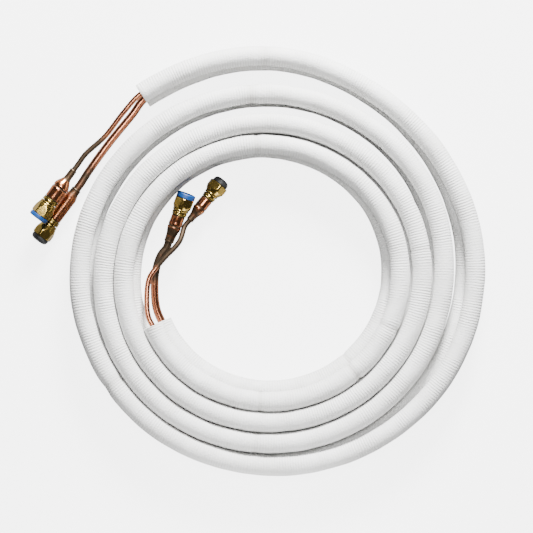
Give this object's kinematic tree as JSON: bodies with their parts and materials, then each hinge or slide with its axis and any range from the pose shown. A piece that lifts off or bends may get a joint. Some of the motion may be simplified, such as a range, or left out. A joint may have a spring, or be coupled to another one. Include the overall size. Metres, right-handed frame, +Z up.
{
  "type": "pre-insulated split air conditioner line set",
  "caption": "Flat coil of two foam-sleeved soft copper refrigerant lines, a thin one over a thick one, with a capped brass swivel coupling on each end.",
  "frame": {"origin": "middle of the set's footprint, on the floor that the coil lies on", "axes": "+Z up out of the flat coil, +X along the longer side of its footprint, +Y towards the top of the picture"},
  "size_m": [0.5398, 0.5086, 0.0479],
  "materials": {
    "copper": "soft drawn copper, oxidised brown, darkest at the brazed ends",
    "brass": "machined brass, slightly tarnished",
    "foam": "white polyethylene foam with a fine crosswise emboss",
    "blue_plastic": "moulded blue polyethylene",
    "grey_plastic": "moulded dark grey polyethylene"
  },
  "bodies": {
    "root": {"suction_line_tube": "copper", "liquid_line_tube": "copper", "suction_line_insulation": "foam", "liquid_line_insulation": "foam", "outer_liquid_adapter": "copper", "outer_liquid_coupling_body": "brass", "outer_suction_adapter": "copper", "outer_suction_coupling_body": "brass", "inner_suction_adapter": "copper", "inner_suction_coupling_body": "brass", "inner_liquid_adapter": "copper", "inner_liquid_coupling_body": "brass"},
    "outer_liquid_nut": {"outer_liquid_union_nut": "brass", "outer_liquid_cap": "blue_plastic"},
    "outer_suction_nut": {"outer_suction_union_nut": "brass", "outer_suction_cap": "grey_plastic"},
    "inner_suction_nut": {"inner_suction_union_nut": "brass", "inner_suction_cap": "blue_plastic"},
    "inner_liquid_nut": {"inner_liquid_union_nut": "brass", "inner_liquid_cap": "grey_plastic"}
  },
  "joints": [
    {"name": "outer_liquid_nut_swivel", "type": "hinge", "parent": "root", "child": "outer_liquid_nut", "pos_m": [-0.25745, 0.05502, 0.0316], "axis": [-0.6004, -0.7997, 0], "continuous": true},
    {"name": "outer_suction_nut_swivel", "type": "hinge", "parent": "root", "child": "outer_suction_nut", "pos_m": [-0.25795, 0.02982, 0.0138], "axis": [-0.6004, -0.7997, 0], "continuous": true},
    {"name": "inner_suction_nut_swivel", "type": "hinge", "parent": "root", "child": "inner_suction_nut", "pos_m": [-0.08591, 0.07483, 0.0225], "axis": [0.3564, 0.9285, 0.1045], "continuous": true},
    {"name": "inner_liquid_nut_swivel", "type": "hinge", "parent": "root", "child": "inner_liquid_nut", "pos_m": [-0.04545, 0.09183, 0.014], "axis": [0.6352, 0.7706, -0.0523], "continuous": true}
  ]
}
